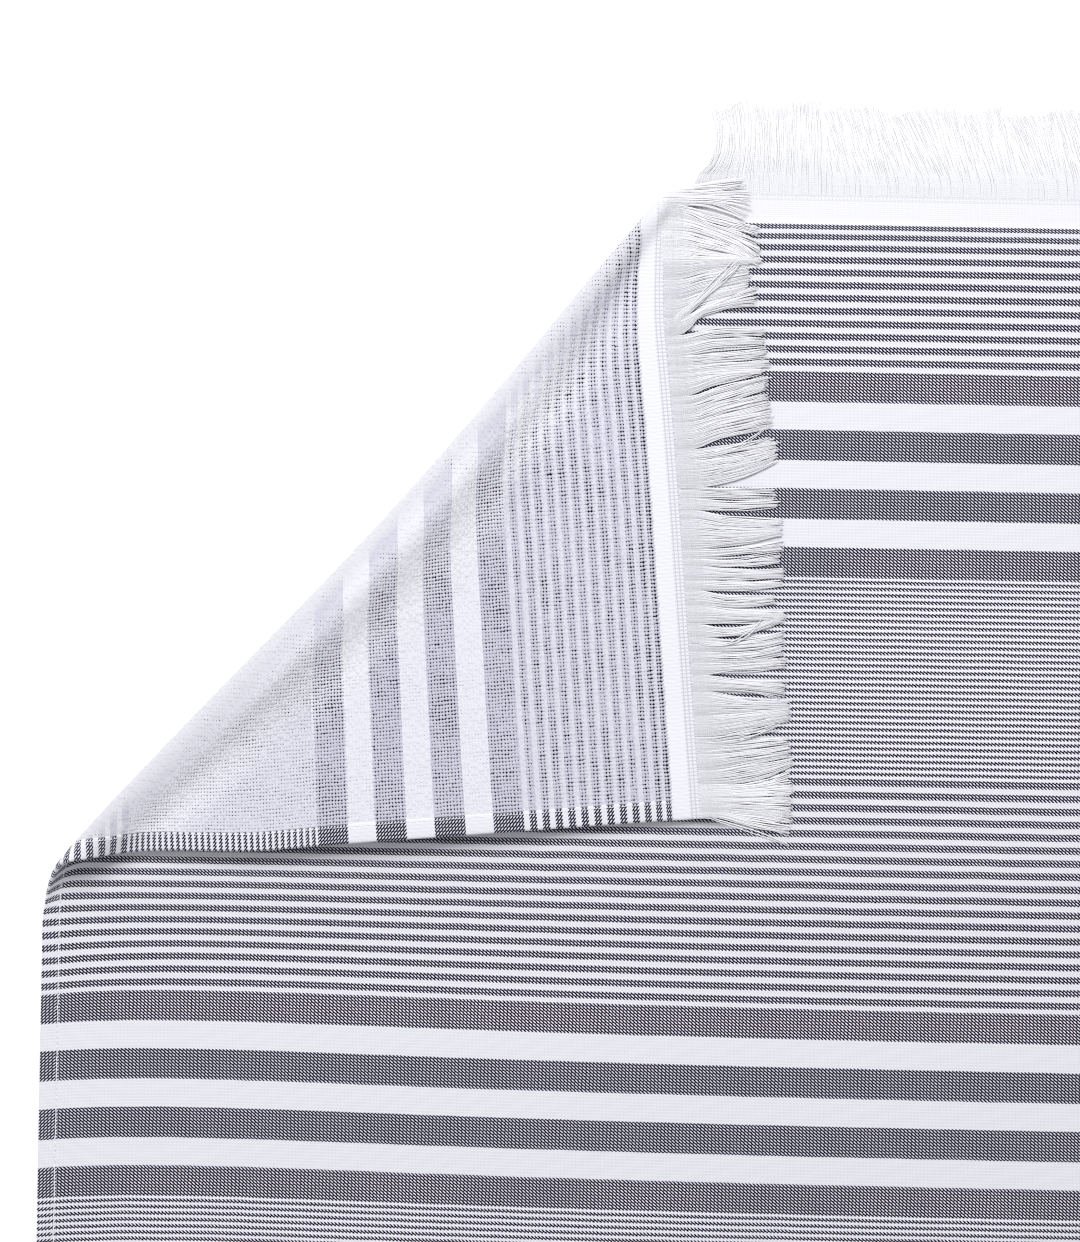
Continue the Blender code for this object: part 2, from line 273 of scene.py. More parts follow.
# Lean of the top fringe to the right. Columns: place from the fold's foot, lean halfway and at the ends.
TOP_LEAN = (
    (0.000, 0.0095, 0.0080),
    (0.010, 0.0070, 0.0065),
    (0.024, 0.0010, -0.0010),
    (0.060, -0.0015, -0.0038),
    (0.080, -0.0050, -0.0120),
    (0.180, -0.0045, -0.0110),
    (0.300, -0.0010, -0.0040),
    (0.500, 0.0015, 0.0030),
    (0.720, -0.0010, -0.0020),
)


def smooth(value):
    """Smooth step from 0 to 1."""
    value = np.clip(value, 0.0, 1.0)
    return value * value * (3.0 - 2.0 * value)


def ramp(value, start, stop):
    """Smooth step from 0 at start to 1 at stop."""
    return smooth((value - start) / (stop - start))


def between(first, last, share):
    return first + (last - first) * share


def running_integral(values):
    """Running integral of even samples down a column of unit length."""
    halves = (values[1:] + values[:-1]) / 2.0
    return np.concatenate([0.0 * values[:1], np.cumsum(halves, axis=0)]) / (len(values) - 1)


# The profile across the fold turns up and back over in the loop, then falls gently to the cloth below.
STATION = np.linspace(0.0, 1.0, PROFILE_STEPS)
LOOP_TURN = (math.pi + FALL_ANGLE) * smooth(STATION)
FALL_TURN = math.pi + FALL_ANGLE * (1.0 - smooth(STATION))
LOOP_ACROSS = running_integral(-np.cos(LOOP_TURN))
LOOP_UP = running_integral(np.sin(LOOP_TURN))
FALL_ACROSS = running_integral(-np.cos(FALL_TURN))
FALL_UP = running_integral(np.sin(FALL_TURN))
REST_HEIGHT = THICKNESS + FLAP_GAP

ALONG_U, ALONG_V = math.cos(FOLD_ANGLE), math.sin(FOLD_ANGLE)
ACROSS_U, ACROSS_V = ALONG_V, -ALONG_U

# Smooth curves through the columns of the fold's sections.
ALONG, RADII, SHIFTS = np.array(FOLD_SECTIONS).T
RADIUS_CURVE, SHIFT_CURVE = (np.polyfit(ALONG / WIDTH, sizes, len(ALONG) - 1) for sizes in (RADII, SHIFTS))


def fold_place(u, v):
    """Place of (u, v) across and along the fold."""
    across = (u - FOLD_CENTRE_U) * ACROSS_U + (v - FOLD_CENTRE_V) * ACROSS_V
    along = (u - FOLD_CENTRE_U) * ALONG_U + (v - FOLD_CENTRE_V) * ALONG_V
    return across, along


def fold_frame(u, v):
    """Place of (u, v) across and along the fold, and the fold's sizes at the section through it."""
    across, along = fold_place(u, v)
    section = np.clip(along, *FOLD_SPAN) / WIDTH
    loop = math.pi * np.polyval(RADIUS_CURVE, section)
    fall = (loop * LOOP_UP[-1] - REST_HEIGHT) / -FALL_UP[-1]
    foot = (loop * (1.0 - LOOP_ACROSS[-1]) + fall * (1.0 - FALL_ACROSS[-1])) / 2.0
    shift = np.polyval(SHIFT_CURVE, section)
    return across, along, loop, fall, foot, shift


def flap_lift(u, v):
    """Height by which the flap's hem and corner stand off the cloth below."""
    start, end = HEM_LIFT_SPAN
    window = np.sin(math.pi * np.clip((v - start) / (end - start), 0.0, 1.0))
    hem = HEM_LIFT * window * smooth(1.0 - u / HEM_LIFT_REACH)
    corner = CORNER_LIFT * smooth(1.0 - np.hypot(u, v) / CORNER_LIFT_REACH)
    return hem + corner


def hem_draw(u, v):
    """How far the flap's hem is drawn up the towel."""
    window = ramp(v, *HEM_DRAW_IN) * ramp(v, *HEM_DRAW_OUT[::-1])
    return HEM_DRAW * window * smooth(1.0 - u / HEM_DRAW_REACH)


def cloth_point(u, v, height):
    """Place of the cloth's point (u, v), at a height over its middle surface on the front side."""
    u, v = np.asarray(u, float), np.asarray(v, float)
    across, along, loop, fall, foot, shift = fold_frame(u, v)
    travel = foot - across
    in_loop = np.clip(travel / loop, 0.0, 1.0)
    in_fall = np.clip((travel - loop) / fall, 0.0, 1.0)
    beyond = np.maximum(travel - loop - fall, 0.0)
    new_across = foot + loop * np.interp(in_loop, STATION, LOOP_ACROSS)
    new_across += fall * np.interp(in_fall, STATION, FALL_ACROSS) + beyond
    new_across = np.where(travel < 0.0, across, new_across)
    new_across += shift * smooth(2.0 * in_loop) * smooth(1.0 - (travel - loop) / SHIFT_FADE)
    new_along = along + FLAP_SLIDE * smooth(travel / FLAP_SLIDE_REACH)
    level = THICKNESS / 2.0 + loop * np.interp(in_loop, STATION, LOOP_UP)
    level += fall * np.interp(in_fall, STATION, FALL_UP)
    level += flap_lift(u, v) * smooth(in_loop)
    turn = np.where(
        travel < loop,
        np.interp(in_loop, STATION, LOOP_TURN),
        np.interp(in_fall, STATION, FALL_TURN),
    )
    new_across += height * np.sin(turn)
    level += height * np.cos(turn)
    x = FOLD_CENTRE_U + new_across * ACROSS_U + new_along * ALONG_U - WIDTH / 2.0
    y = WOVEN_LENGTH / 2.0 - FOLD_CENTRE_V - new_across * ACROSS_V - new_along * ALONG_V
    y += hem_draw(u, v) * smooth(in_loop)
    return np.stack([x, y, level], axis=-1)


def fold_travel(u, v):
    """Distance round the cloth from where the fold leaves the floor."""
    across, *_, foot, _ = fold_frame(u, v)
    return foot - across


def fold_foot():
    """The place on the cloth's top end where the fold leaves the floor."""
    places = np.arange(0.20, 0.40, 0.0005)
    return float(places[np.argmax(fold_travel(places, 0.0 * places) < 0.0)])


def uneven(first, second, spacing, seed, waves=7):
    """Smooth uneven field of about unit size, with swells of about the given spacing."""
    draw = np.random.default_rng(seed)
    total = np.zeros(np.broadcast(first, second).shape)
    for _ in range(waves):
        heading = draw.uniform(0.0, math.tau)
        turns = math.tau / (spacing * draw.uniform(0.7, 1.6))
        phase = draw.uniform(0.0, math.tau)
        total += np.sin(turns * (first * math.cos(heading) + second * math.sin(heading)) + phase)
    return total / math.sqrt(waves / 2.0)


# The next three functions and those of the stripe layout take arrays, or signals of a node tree.


def lesser(first, second):
    return first.math("MINIMUM", second) if isinstance(first, Signal) else np.minimum(first, second)


def greater(first, second):
    return first.math("MAXIMUM", second) if isinstance(first, Signal) else np.maximum(first, second)


def past_bend(u, v):
    """Distance round the cloth past the crest of its bend."""
    across, along = fold_place(u, v)
    section = greater(lesser(along, FOLD_SPAN[1]), FOLD_SPAN[0]) * (1.0 / WIDTH)
    radius = section * float(RADIUS_CURVE[0]) + float(RADIUS_CURVE[1])
    for coefficient in RADIUS_CURVE[2:]:
        radius = section * radius + float(coefficient)
    fall_share = float((1.0 - FALL_ACROSS[-1]) / -FALL_UP[-1])
    foot_share = float(1.0 - LOOP_ACROSS[-1] + LOOP_UP[-1] * fall_share) / 2.0
    return radius * (math.pi * (foot_share - 0.5)) - across - REST_HEIGHT * fall_share / 2.0


def pattern_place(u, v):
    """Place of a cloth point along the stripe layout."""

    def packed(away):
        slope = PACKED_SHIFT / PACKED_REACH
        return PACKED_SHIFT * np.exp(-np.maximum(away, 0.0) / PACKED_REACH) - slope * np.minimum(away, 0.0)

    from_end = WOVEN_LENGTH - HEADER - v
    from_start = (u + WAVE_LEAD * smooth((v - WAVE_IN[1]) / WAVE_LEAD_REACH)) / WAVE_PLACE
    wave = WAVE_RISE * from_start * np.exp(1.0 - from_start)
    return v + wave * ramp(v, *WAVE_IN) * ramp(v, *WAVE_OUT[::-1]) - packed(v - HEADER) + packed(from_end)


# Meshes.


def link(obj):
    bpy.context.scene.collection.objects.link(obj)
    return obj


def mesh_object(name, points, faces, materials, flat, material_of=None):
    """Smooth-shaded mesh from points and a list of face arrays, each with its own corner count.

    flat is each point's place in the UV map "flat", and material_of each face's material.
    """
    mesh = bpy.data.meshes.new(name)
    corners = np.concatenate([block.ravel() for block in faces]).astype(np.int32)
    sizes = np.concatenate([np.full(len(block), block.shape[1]) for block in faces]).astype(np.int32)
    mesh.vertices.add(len(points))
    mesh.vertices.foreach_set("co", np.ascontiguousarray(points, np.float32).ravel())
    mesh.loops.add(len(corners))
    mesh.loops.foreach_set("vertex_index", corners)
    mesh.polygons.add(len(sizes))
    mesh.polygons.foreach_set("loop_start", np.concatenate([[0], np.cumsum(sizes)[:-1]]).astype(np.int32))
    mesh.polygons.foreach_set("use_smooth", np.ones(len(sizes), bool))
    if material_of is not None:
        mesh.polygons.foreach_set("material_index", material_of.astype(np.int32))
    layer = mesh.uv_layers.new(name="flat")
    layer.data.foreach_set("uv", flat[corners].astype(np.float32).ravel())
    mesh.update(calc_edges=True)
    mesh.validate()
    for material in materials:
        mesh.materials.append(material)
    return link(bpy.data.objects.new(name, mesh))


def tube_faces(tubes, rings, sides):
    """Faces of closed tubes whose points run by tube, then ring, then side."""
    index = np.arange(tubes * rings * sides).reshape(tubes, rings, sides)
    near, far = index[:, :-1], index[:, 1:]
    walls = np.stack([near, far, np.roll(far, -1, axis=2), np.roll(near, -1, axis=2)], axis=-1)
    caps = np.concatenate([index[:, 0], index[:, -1, ::-1]])
    return [walls.reshape(-1, 4), caps]


def ring_offsets():
    """Shares across and up round a yarn's ring."""
    turn = math.tau * (np.arange(YARN_SIDES) + 0.5) / YARN_SIDES
    return np.cos(turn), np.sin(turn)


# The cloth.


def from_side(u):
    return np.minimum(u, WIDTH - u)


def side_rounding(u):
    """Height that each face loses at the rounded sides."""
    return EDGE_ROUND * (1.0 - smooth(from_side(u) / EDGE_REACH)) ** 2


def front_height(u, v):
    """Height of the front face: rounded at the sides and thinner in the headers."""
    end = np.minimum(v, WOVEN_LENGTH - v)
    body = smooth((end - HEADER) / HEADER_STEP)
    return between(HEADER_FRONT, THICKNESS / 2.0, body) - side_rounding(u)


def in_terry(u, v):
    """Share of terry ground at (u, v): 1 where loops are modelled, 0 in hems and headers and on the floor."""
    return (
        smooth((from_side(u) - HEM) / TERRY_STEP)
        * smooth((v - HEADER) / TERRY_STEP)
        * smooth(fold_travel(u, v) / TERRY_LEAD)
    )


def back_height(u, v):
    """Height of the back face: the ground under the loops, and full depth in the turned hems."""
    raised = smooth(fold_travel(u, v) / TERRY_LEAD)
    header = (1.0 - smooth((v - HEADER) / HEADER_STEP)) * raised
    height = between(-THICKNESS / 2.0, GROUND_BACK, in_terry(u, v))
    return between(height, HEADER_BACK, header) + side_rounding(u)


def stations(stops):
    """Grid lines through a list of (place, spacing up to it) pairs."""
    lines = [stops[0][0]]
    for place, spacing in stops[1:]:
        count = max(1, round((place - lines[-1]) / spacing))
        lines.extend(np.linspace(lines[-1], place, count + 1)[1:])
    return np.array(lines)


def build_cloth(front, back, under, header_back):
    """The whole cloth as one closed sheet: front and back faces on one grid, joined round the rim."""
    u = stations(
        [(0.0, 1.0), (EDGE_REACH, 0.00034), (HEM - 0.0002, 0.0026), (HEM + TERRY_STEP, 0.00037)]
        + [(FOLD_REACH, 0.0030), (WIDTH - HEM, 0.020), (WIDTH - EDGE_REACH, 0.004), (WIDTH, 0.00034)]
    )
    v = stations(
        [(0.0, 1.0), (HEADER, 0.0023), (HEADER + HEADER_STEP, 0.0005), (FOLD_REACH, 0.0030)]
        + [(WAVE_OUT[1], 0.018), (WOVEN_LENGTH - HEADER - HEADER_STEP, 0.030)]
        + [(WOVEN_LENGTH - HEADER, 0.0007), (WOVEN_LENGTH, 0.007)]
    )
    grid_v, grid_u = np.meshgrid(v, u, indexing="ij")
    sides = [cloth_point(grid_u, grid_v, height(grid_u, grid_v)) for height in (front_height, back_height)]
    points = np.concatenate(sides).reshape(-1, 3)
    offset = grid_u.size
    index = np.arange(offset).reshape(grid_u.shape)
    near, far = index[:-1], index[1:]
    quads = np.stack([near[:, :-1], far[:, :-1], far[:, 1:], near[:, 1:]], axis=-1).reshape(-1, 4)
    ring = np.concatenate([index[0, :-1], index[:-1, -1], index[-1, :0:-1], index[:0:-1, 0]])
    ahead = np.roll(ring, -1)
    rim = np.stack([ring, ahead, ahead + offset, ring + offset], axis=-1)
    faces = [quads, quads[:, ::-1] + offset, rim]
    middle_u, middle_v = ((grid[:-1, :-1] + grid[1:, 1:]).ravel() / 2.0 for grid in (grid_u, grid_v))
    raised = fold_travel(middle_u, middle_v) > TERRY_LEAD / 2.0
    back_material = np.select([middle_v < HEADER, from_side(middle_u) < HEM, raised], [3, 0, 1], 2)
    material_of = np.concatenate([np.zeros(len(quads)), back_material, np.zeros(len(rim))])
    flat = np.stack([grid_u, pattern_place(grid_u, grid_v)], axis=-1).reshape(-1, 2)
    flat = np.concatenate([flat, flat])
    return mesh_object("towel_cloth", points, faces, [front, back, under, header_back], flat, material_of)


def loop_closing(u, v):
    """How far the loops close up, from 0 on the flat flap to 1 over the bend."""
    place = pattern_place(u, v)
    over_bend = 1.0 - ramp(past_bend(u, v), *CLOSE_REACH)
    over_bend *= between(NARROW_CLOSE, 1.0, ramp(place, *NARROW_OPEN))
    in_fine = fine_band(place)
    in_white = (1.0 - navy_stripes(place)) * (1.0 - in_fine)
    return np.maximum.reduce([over_bend, FINE_CLOSE * in_fine, WHITE_CLOSE * in_white])


def soften_shading(piece, surface, softness):
    """Shades small closed shapes more like the surface under them, given its normal at each."""
    mesh = piece.data
    own = np.empty(3 * len(mesh.vertices), np.float32)
    mesh.vertex_normals.foreach_get("vector", own)
    own = own.reshape(len(surface), -1, 3)
    softness = np.broadcast_to(softness, len(surface))[:, None, None]
    blend = own * (1.0 - softness) + surface[:, None, :] * softness
    blend /= np.linalg.norm(blend, axis=2, keepdims=True)
    mesh.normals_split_custom_set_from_vertices(blend.reshape(-1, 3).tolist())


def build_loops(material):
    """Terry loops on the cloth's back, wherever the fold lifts it off the floor."""
    draw = np.random.default_rng(11)
    u = np.arange(HEM + CELL_U * 0.52, FOLD_REACH, CELL_U)
    v = np.arange(HEADER + CELL_V * 0.55, FOLD_REACH, CELL_V)
    grid_u, grid_v = (grid.ravel() for grid in np.meshgrid(u, v))
    travel = fold_travel(grid_u, grid_v)
    tip = cloth_point(grid_u, grid_v, GROUND_BACK - LOOP_HEIGHT * 1.2)
    kept = (travel > TERRY_LEAD * 0.6) & (tip[:, 2] > LOOP_CLEARANCE)
    grid_u, grid_v = grid_u[kept], grid_v[kept]
    count = len(grid_u)
    near_header = between(HEADER_LOOP, 1.0, smooth((grid_v - HEADER) / HEADER_LOOP_REACH))
    height = LOOP_HEIGHT * near_header * draw.uniform(0.85, 1.15, count)
    size = draw.uniform(0.90, 1.08, count) * (1.0 + 0.035 * uneven(grid_u, grid_v, 0.035, 5)) * near_header
    closing = loop_closing(grid_u, grid_v)
    size = size * (1.0 + CLOSE_SIZE * closing)
    softness = between(*LOOP_SOFTNESS, closing)

    def astray(swell, spacing, seed, scatter):
        return swell * uneven(grid_u, grid_v, spacing, seed) + draw.normal(0.0, scatter, count)

    lean_u, lean_v = astray(0.14, 0.012, 3, 0.14), astray(0.14, 0.014, 4, 0.12)
    shift_u, shift_v = astray(0.00008, 0.009, 8, 0.00004), astray(0.00006, 0.008, 9, 0.00005)
    rings = np.array(LOOP_RINGS)
    across, up = np.array([1.0, -1.0, -1.0, 1.0]), np.array([1.0, 1.0, -1.0, -1.0])
    rise = height[:, None] * rings[:, 1]
    along = rings[:, 0] * size[:, None]
    outward, downward = np.array([-1.0, -0.45, 0.45, 1.0]), np.array([0.2, 0.9, 0.9, 0.2])
    width = rings[:, 2, None] * size[:, None, None] * across
    depth = LOOP_DEPTH * up
    ring_u = (grid_u + shift_u)[:, None, None] + (lean_u[:, None] * rise)[:, :, None] + width
    ring_v = (grid_v + shift_v)[:, None, None] + (lean_v[:, None] * rise + along)[:, :, None]
    ring_v = ring_v + depth * outward[:, None]
    ring_h = GROUND_BACK - rise[:, :, None] - depth * downward[:, None]
    points = cloth_point(ring_u, ring_v, ring_h)
    places = np.stack([ring_u, pattern_place(ring_u, ring_v)], axis=-1)
    surface = cloth_point(grid_u, grid_v, GROUND_BACK - 0.001) - cloth_point(grid_u, grid_v, GROUND_BACK)
    surface /= np.linalg.norm(surface, axis=1, keepdims=True)
    order = np.array_split(np.argsort(grid_v, kind="stable"), LOOP_PIECES)
    pieces = []
    for number, chosen in enumerate(order, 1):
        faces = tube_faces(len(chosen), len(rings), 4)
        flat = places[chosen].reshape(-1, 2)
        piece = mesh_object(f"terry_loops_{number}", points[chosen].reshape(-1, 3), faces, [material], flat)
        soften_shading(piece, surface[chosen], softness[chosen])
        pieces.append(piece)
    return pieces


# Fringes.


def yarn_object(name, centres, radius, materials, surface, softness, kind):
    """Yarns as closed tubes along centre lines. kind is each one's place in materials."""
    tubes, rings, _ = centres.shape
    tangent = np.gradient(centres, axis=1)
    tangent /= np.linalg.norm(tangent, axis=2, keepdims=True)
    side = np.cross(tangent, [0.0, 0.0, 1.0])
    side /= np.linalg.norm(side, axis=2, keepdims=True)
    upward = np.cross(side, tangent)
    taper = 1.0 - TIP_TAPER * np.linspace(0.0, 1.0, rings) ** 6
    thickness = (radius[:, None] * taper)[:, :, None]
    across, up = ring_offsets()
    points = centres[:, :, None] + (side * thickness)[:, :, None] * across[:, None]
    points = points + (upward * thickness)[:, :, None] * up[:, None]
    run = np.cumsum(np.linalg.norm(np.diff(centres, axis=1, prepend=centres[:, :1]), axis=2), axis=1)
    start = np.random.default_rng(len(name)).uniform(0.0, 3.0, tubes)
    place = np.broadcast_to(run[:, :, None], (tubes, rings, YARN_SIDES))
    around = np.arange(YARN_SIDES) * math.tau / YARN_SIDES * YARN_RADIUS + start[:, None, None]
    flat = np.stack([place, np.broadcast_to(around, place.shape)], axis=-1).reshape(-1, 2)
    material_of = np.concatenate([np.repeat(kind, (rings - 1) * YARN_SIDES), kind, kind])
    faces = tube_faces(tubes, rings, YARN_SIDES)
    yarns = mesh_object(name, points.reshape(-1, 3), faces, materials, flat, material_of)
    soften_shading(yarns, surface, softness)
    return yarns


def run_yarns(root, ahead, aside, length, halfway, end, turn, share, wobble, seed):
    """Flat runs of yarns that leave their roots ahead and drift aside. Shape (yarns, rings, 2).

    ahead and aside are directions, halfway and end the drifts there, and turn the share of the length over
    which a yarn turns aside.
    """
    draw = np.random.default_rng(seed)
    count = len(root)
    steps, least_pace, settle = 97, 0.35, 0.7
    fine = np.linspace(0.0, 1.0, steps)
    lean, bend = (4.0 * halfway - end)[:, None], (2.0 * end - 4.0 * halfway)[:, None]
    phase = draw.uniform(0.0, math.tau, count)[:, None]
    turns = draw.uniform(0.5, 1.4, count)[:, None]
    ripple = wobble[:, None] * (np.sin(math.tau * turns * fine + phase) - np.sin(phase))
    ripple *= smooth(fine / settle)
    drift = fine * (lean + bend * fine) * smooth(fine / turn[:, None]) + ripple
    slope = np.gradient(drift, fine, axis=1)
    pace = np.sqrt(np.maximum(length[:, None] ** 2 - slope**2, (least_pace * length[:, None]) ** 2))
    run = running_integral(pace.T).T
    run, drift = (np.array([np.interp(share, fine, row) for row in rows]) for rows in (run, drift))
    return root[:, None, :2] + run[:, :, None] * np.array(ahead) + drift[:, :, None] * np.array(aside)


def lap_yarns(place, end, inward, lap, height, lift):
    """Rings of the yarns' first part, which comes up out of the cloth, and the points where they leave it."""
    back = lap[:, None] * (1.0 - LAP_RINGS)
    sunk = ROOT_SINK * (1.0 - smooth(LAP_RINGS / 0.5))[None, :]
    level = height + lift * (1.0 - sunk / YARN_RADIUS)
    rings = cloth_point(place[:, None] + 0.0 * back, end + inward * back, level)
    return rings, cloth_point(place, end + 0.0 * place, height + lift)


def whole_yarns(on_cloth, root, flat_run, rest, length, share, reach):
    """Centre lines from their rings on the cloth and a flat run, along which they settle within a reach."""
    level = between(root[:, 2:3], rest[:, None], smooth(share * length[:, None] / reach))
    beyond = np.concatenate([flat_run, level[:, :, None]], axis=2)
    return np.concatenate([on_cloth, beyond], axis=1)


def bunch(places, spread, seed):
    """Each yarn's pull towards the small bunch that it forms with its neighbours."""
    draw = np.random.default_rng(seed)
    pull = np.zeros(len(places))
    first = 0
    while first < len(places):
        last = min(len(places), first + int(draw.integers(3, 9)))
        middle = places[first:last].mean() + draw.normal(0.0, spread)
        pull[first:last] = (middle - places[first:last]) * draw.uniform(0.05, 0.4)
        first = last
    return pull


def photo_row(points):
    """Row of the photograph in which points show."""
    offset = points[..., :2] - np.array(VIEW_CENTRE)
    up = offset[..., 1] * math.cos(VIEW_TURN) - offset[..., 0] * math.sin(VIEW_TURN)
    nearer = (CAMERA_HEIGHT - THICKNESS) / (CAMERA_HEIGHT - points[..., 2])
    return IMAGE_HEIGHT / 2.0 - up * nearer / METRES_PER_PIXEL


def build_flap_fringe(materials):
    """Yarns of the folded corner's end, which lie across the cloth in the photo's uneven locks."""
    draw = np.random.default_rng(23)
    along_end = np.linspace(0.0, fold_foot(), 900)
    rows = photo_row(cloth_point(along_end, 0.0 * along_end, HEADER_BACK))
    seen = slice(np.argmin(rows), None, -1)
    yarns = []
    for number, lock in enumerate(FLAP_LOCKS + FLAP_STRANDS):
        *rows_at, length, spacing, layer = lock
        start, halfway, end = rows_at[:2], rows_at[2:4], rows_at[4:]
        count = max(2, round((start[1] - start[0]) * METRES_PER_PIXEL / (spacing * LOCK_SPACING)))
        across = np.linspace(0.0, 1.0, count)
        across = np.clip(across + draw.normal(0.0, 0.3 / count, count), 0.0, 1.0)
        start_row = between(*start, across)
        pull = bunch(start_row * METRES_PER_PIXEL, 0.0003, 40 + number)
        half_drift = (start_row - between(*halfway, across)) * METRES_PER_PIXEL - pull * 0.5
        drift = (start_row - between(*end, across)) * METRES_PER_PIXEL - pull
        share = length * draw.normal(1.0, 0.012) * draw.normal(1.0, 0.018, count)
        turn = np.full(count, LOCK_TURN if number < len(FLAP_LOCKS) else STRAND_TURN)
        high = layer * LOCK_LAYER + LOCK_CROWN * np.sin(math.pi * across)
        yarns.append([start_row, half_drift, drift, share, turn, high, across])
    start_row, half_drift, drift, share, turn, high, across = np.concatenate(yarns, axis=1)
    place = np.interp(start_row, rows[seen], along_end[seen])
    count = len(place)
    length = np.interp(place, FLAP_FRINGE_RISE, FLAP_FRINGE_LENGTH) * share
    lap = ROOT_LAP * draw.uniform(0.7, 1.2, count) + MOUTH_LAP * ramp(start_row, *MOUTH_LAP_ROWS[::-1])
    on_cloth, root = lap_yarns(place, 0.0, 1.0, lap, HEADER_BACK, -YARN_RADIUS * 0.6)
    wobble = draw.uniform(0.0001, 0.0007, count)
    right = (math.cos(VIEW_TURN), math.sin(VIEW_TURN))
    up = (-math.sin(VIEW_TURN), math.cos(VIEW_TURN))
    flat_run = run_yarns(root, right, up, length, half_drift, drift, turn, FLAP_RINGS, wobble, 24)
    rest = THICKNESS + YARN_RADIUS + high + draw.uniform(0.0, 0.0005, count)
    centres = whole_yarns(on_cloth, root, flat_run, rest, length, FLAP_RINGS, FLAP_SETTLE)
    radius = YARN_RADIUS * draw.uniform(0.86, 1.14, count)
    surface = np.stack([0.0 * across, (0.5 - across) * 2.0 * LOCK_ROUNDNESS, 1.0 + 0.0 * across], axis=1)
    surface /= np.linalg.norm(surface, axis=1, keepdims=True)
    unshaded = sum((start_row > first) & (start_row < last) for first, last in UNSHADED_ROWS)
    return yarn_object("fringe_flap_yarns", centres, radius, materials, surface, YARN_SOFTNESS, unshaded)


def build_floor_fringe(name, start, stop, end, lean, pitch, seed, material):
    """Yarns that leave an end of the cloth and lie on the floor. lean gives their drifts by place."""

    def swell(spacing, number):
        return uneven(place, 0.0 * place, spacing, seed + number)

    draw = np.random.default_rng(seed)
    count = round((stop - start) / pitch)
    place = np.linspace(start, stop, count) + draw.normal(0.0, pitch * 0.2, count)
    outward = -1.0 if end == 0.0 else 1.0
    lap = ROOT_LAP * draw.uniform(0.7, 1.2, count)
    on_cloth, root = lap_yarns(place, end, -outward, lap, HEADER_FRONT, YARN_RADIUS * 0.6)
    length = FRINGE_LENGTH + draw.normal(0.0, 0.0007, count) + 0.0008 * swell(0.020, 0)
    sway = 0.0016 * swell(0.030, 1) + 0.0007 * swell(0.007, 2) + bunch(place, 0.0003, seed + 3)
    halfway, tip = lean(place)
    wobble = draw.uniform(0.0001, 0.0006, count)
    halfway, tip, turn = halfway + sway * 0.4, tip + sway, np.full(count, LOCK_TURN)
    ahead, right = (0.0, -outward), (1.0, 0.0)
    flat_run = run_yarns(root, ahead, right, length, halfway, tip, turn, FLOOR_RINGS, wobble, seed + 4)
    rest = YARN_RADIUS * 1.05 + draw.uniform(0.0, 0.0002, count)
    centres = whole_yarns(on_cloth, root, flat_run, rest, length, FLOOR_RINGS, FLOOR_SETTLE)
    radius = YARN_RADIUS * draw.uniform(0.85, 1.10, count)
    surface = np.tile([0.0, 0.0, 1.0], (count, 1))
    kind = np.zeros(count, int)
    return yarn_object(name, centres, radius, [material], surface, FLOOR_YARN_SOFTNESS, kind)


def build_stitches(name, edge_u, side, start, stop, material):
    """Stitches along a side hem: short arches of thread on one face of the cloth."""
    draw = np.random.default_rng(31)
    pitch, reach = 0.0026, 0.00128
    v = np.arange(start, stop, pitch)
    count = len(v)
    u = edge_u + draw.normal(0.0, 0.00008, count)
    rings = np.array([-1.0, -0.6, 0.6, 1.0])
    rise = np.array([-0.0002, 0.00002, 0.00004, -0.0002])
    radius = 0.00038 if side > 0 else 0.00020
    across, up = ring_offsets()
    ring_v = v[:, None, None] + rings[:, None] * reach + 0.0 * across
    ring_u = u[:, None, None] + 0.0 * ring_v + radius * across
    on_hem = np.minimum(ring_u, HEM - 0.0003)
    surface = front_height(ring_u, ring_v) if side > 0 else back_height(on_hem, ring_v)
    ring_h = surface + side * (rise[:, None] + radius * up)
    points = cloth_point(ring_u, ring_v, ring_h).reshape(-1, 3)
    flat = np.stack([ring_v, ring_u], axis=-1).reshape(-1, 2)
    faces = tube_faces(count, len(rings), YARN_SIDES)
    if side > 0:
        faces = [block[:, ::-1] for block in faces]
    return mesh_object(name, points, faces, [material], flat)


# Materials.


class Signal:
    """A value in a node tree, with arithmetic that adds math nodes."""

    def __init__(self, tree, socket):
        self.tree, self.socket = tree, socket

    def into(self, place):
        self.tree.links.new(self.socket, place)

    def math(self, operation, *others):
        node = self.tree.nodes.new("ShaderNodeMath")
        node.operation = operation
        for place, value in zip(node.inputs, (self, *others)):
            if isinstance(value, Signal):
                value.into(place)
            else:
                place.default_value = value
        return Signal(self.tree, node.outputs[0])

    def operator(operation):
        return lambda self, other: self.math(operation, other)

    __add__, __sub__, __mul__ = operator("ADD"), operator("SUBTRACT"), operator("MULTIPLY")
    __mod__, __gt__, __lt__ = operator("FLOORED_MODULO"), operator("GREATER_THAN"), operator("LESS_THAN")

    def __rsub__(self, other):
        return self * -1.0 + other

    def turns(self, period):
        return self * (math.tau / period)

    def wave(self, period):
        return self.turns(period).math("COSINE")

    def step(self, low, high):
        """Smooth step from 0 at the low value to 1 at the high one."""
        node = self.tree.nodes.new("ShaderNodeMapRange")
        node.interpolation_type = "SMOOTHSTEP"
        self.into(node.inputs["Value"])
        node.inputs["From Min"].default_value = low
        node.inputs["From Max"].default_value = high
        return Signal(self.tree, node.outputs["Result"])

    def fade(self, low, high):
        """Smooth step from 1 at the low value to 0 at the high one."""
        return (self * -1.0).step(-high, -low)


